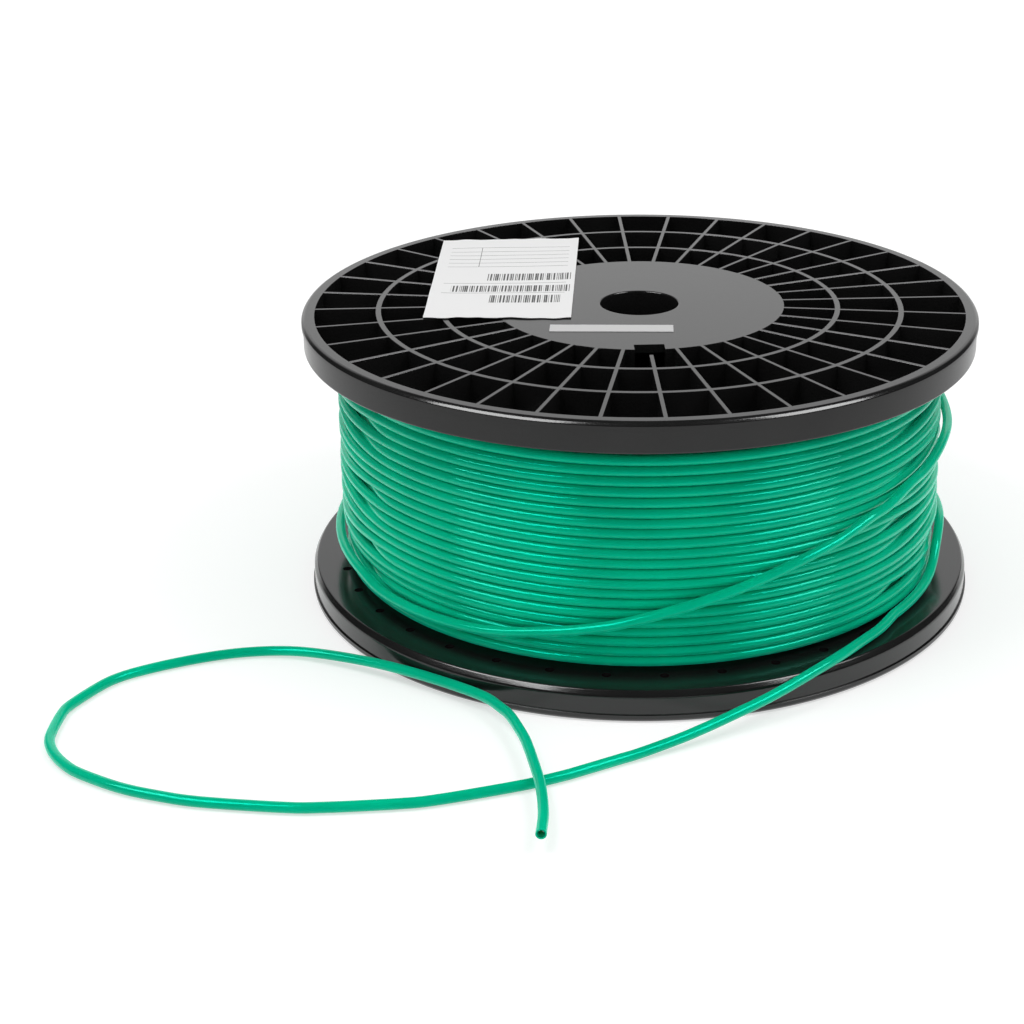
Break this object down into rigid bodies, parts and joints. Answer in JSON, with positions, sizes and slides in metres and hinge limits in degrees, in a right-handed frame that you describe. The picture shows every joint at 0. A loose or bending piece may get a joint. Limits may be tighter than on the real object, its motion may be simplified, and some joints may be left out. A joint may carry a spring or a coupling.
{
  "type": "wire spool",
  "caption": "Ribbed black plastic cable spool lying on one flange, wound with green network cable whose last turn crosses the winding and runs off to a loose loop on the floor.",
  "frame": {"origin": "on the reel's axis, in the plane of the lower flange's outer face, where the spool stands", "axes": "+Z along the reel's axis, up; -Y towards the viewer of the picture; +X to the viewer's right"},
  "size_m": [0.4552, 0.4692, 0.1529],
  "materials": {
    "flange_plastic": "moulded black plastic, satin, greyer on the flat top edges",
    "barrel_plastic": "moulded black plastic",
    "jacket": "smooth green cable jacket with a soft shine",
    "white_blue_insulation": "white insulation with a blue stripe",
    "blue_insulation": "blue insulation",
    "white_orange_insulation": "white insulation with an orange stripe",
    "orange_insulation": "orange insulation",
    "white_green_insulation": "white insulation with a green stripe",
    "green_insulation": "green insulation",
    "white_brown_insulation": "white insulation with a brown stripe",
    "brown_insulation": "brown insulation",
    "paper": "plain white paper, stuck on at its middle, with blank rules and plain stripes only"
  },
  "bodies": {
    "reel": {"upper_flange": "flange_plastic", "lower_flange": "flange_plastic", "barrel": "barrel_plastic", "packed_cable": "jacket", "outer_layer": "jacket", "label_sheet": "paper", "strip_label": "paper"},
    "drawn_cable": {"last_turn": "jacket", "free_tail": "jacket", "white_blue_wire": "white_blue_insulation", "blue_wire": "blue_insulation", "white_orange_wire": "white_orange_insulation", "orange_wire": "orange_insulation", "white_green_wire": "white_green_insulation", "green_wire": "green_insulation", "white_brown_wire": "white_brown_insulation", "brown_wire": "brown_insulation"}
  },
  "joints": [
    {"name": "draw_off_turn", "type": "hinge", "parent": "reel", "child": "drawn_cable", "pos_m": [0, 0, 0], "axis": [0, 0, 1], "continuous": true}
  ]
}
